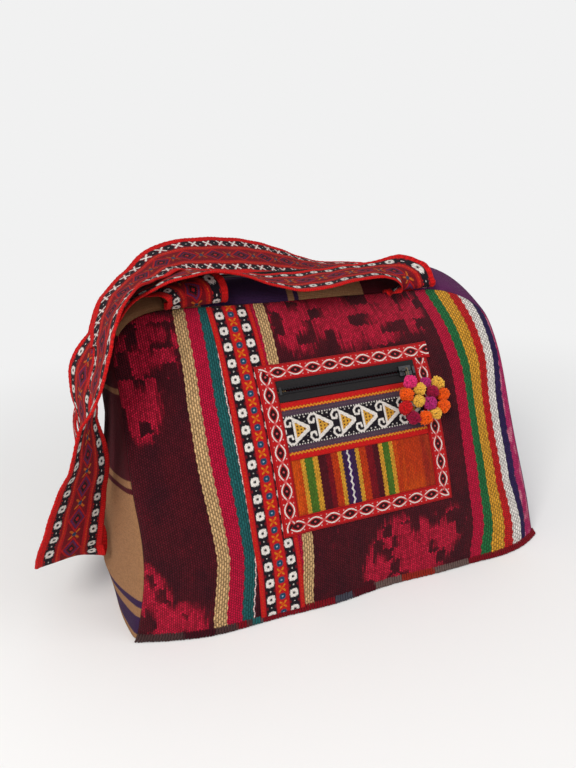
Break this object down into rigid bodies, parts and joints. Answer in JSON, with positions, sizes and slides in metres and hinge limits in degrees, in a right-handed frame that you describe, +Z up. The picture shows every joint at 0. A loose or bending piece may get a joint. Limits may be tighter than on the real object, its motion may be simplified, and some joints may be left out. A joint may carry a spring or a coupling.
{
  "type": "boston bag",
  "caption": "Soft woven boston bag with gusseted ends, a zipped top, a zipped patch pocket with a yarn garland and long band handles.",
  "frame": {"origin": "middle of the underside of the base panel", "axes": "+X along the bag, away from the end where the handles hang, +Y from the pocket side to the back, +Z up"},
  "size_m": [0.4969, 0.2661, 0.3234],
  "materials": {
    "back_weave": "ribbed wool weave",
    "band_weave": "patterned band weave",
    "base_cloth": "ribbed wool weave",
    "binding_yarn": "overcast yarn",
    "cord_yarn": "twisted yarn",
    "front_weave": "ribbed wool weave",
    "handle_weave": "patterned band weave",
    "hook_band": "patterned band weave",
    "ribbon": "woven ribbon",
    "side_cloth": "striped flat weave",
    "stripe_cloth": "striped flat weave",
    "yarn_crimson": "cut yarn",
    "yarn_gold": "cut yarn",
    "yarn_orange": "cut yarn",
    "yarn_pink": "cut yarn",
    "yarn_purple": "cut yarn",
    "yarn_red": "cut yarn",
    "zip_metal": "dark lacquer",
    "zip_tape": "woven tape",
    "zip_teeth": "moulded"
  },
  "bodies": {
    "bag": {"back_edge_binding": "binding_yarn", "back_handle": "handle_weave", "back_panel": "back_weave", "base_panel": "base_cloth", "belt_band": "band_weave", "front_edge_binding": "binding_yarn", "front_handle": "handle_weave", "front_panel": "front_weave", "left_gusset": "side_cloth", "main_zip_stop_closed_end": "zip_metal", "main_zip_stop_open_end": "zip_metal", "main_zip_tape_back": "zip_tape", "main_zip_tape_front": "zip_tape", "main_zip_teeth_back": "zip_teeth", "main_zip_teeth_front": "zip_teeth", "pocket_hook_band": "hook_band", "pocket_stripe_cloth": "stripe_cloth", "pocket_trim": "ribbon", "pocket_zip_stop_closed_end": "zip_metal", "pocket_zip_stop_open_end": "zip_metal", "pocket_zip_tape_lower": "zip_tape", "pocket_zip_tape_upper": "zip_tape", "pocket_zip_teeth_lower": "zip_teeth", "pocket_zip_teeth_upper": "zip_teeth", "right_gusset": "side_cloth", "top_strip_back": "side_cloth", "top_strip_front": "side_cloth"},
    "pocket_slider": {"pocket_zip_slider": "zip_metal"},
    "garland": {"pompom_01": "yarn_pink", "pompom_02": "yarn_orange", "pompom_03": "yarn_gold", "pompom_04": "yarn_red", "pompom_05": "yarn_gold", "pompom_06": "yarn_crimson", "pompom_07": "yarn_orange", "pompom_08": "yarn_purple", "pompom_09": "yarn_gold", "pompom_10": "yarn_orange", "pompom_11": "yarn_orange", "pompom_12": "yarn_gold", "pompom_13": "yarn_crimson", "pompom_14": "yarn_purple", "pompom_cord": "cord_yarn"},
    "main_slider": {"main_zip_slider": "zip_metal"},
    "main_pull": {"main_zip_pull": "zip_metal"}
  },
  "joints": [
    {"name": "pocket_zip_travel", "type": "slide", "parent": "bag", "child": "pocket_slider", "axis": [-1, 0, 0], "range_m": [0, 0.1155]},
    {"name": "garland_hinge", "type": "hinge", "parent": "pocket_slider", "child": "garland", "pos_m": [0.072, -0.04601, 0.18958], "axis": [-1, 0, 0], "range_deg": [0, 95]},
    {"name": "main_zip_travel", "type": "slide", "parent": "bag", "child": "main_slider", "axis": [-0.9992, 0, 0.0407], "range_m": [0, 0.24]},
    {"name": "main_pull_hinge", "type": "hinge", "parent": "main_slider", "child": "main_pull", "pos_m": [0.11808, 0.05932, 0.27329], "axis": [0, -1, 0], "range_deg": [0, 180]}
  ]
}
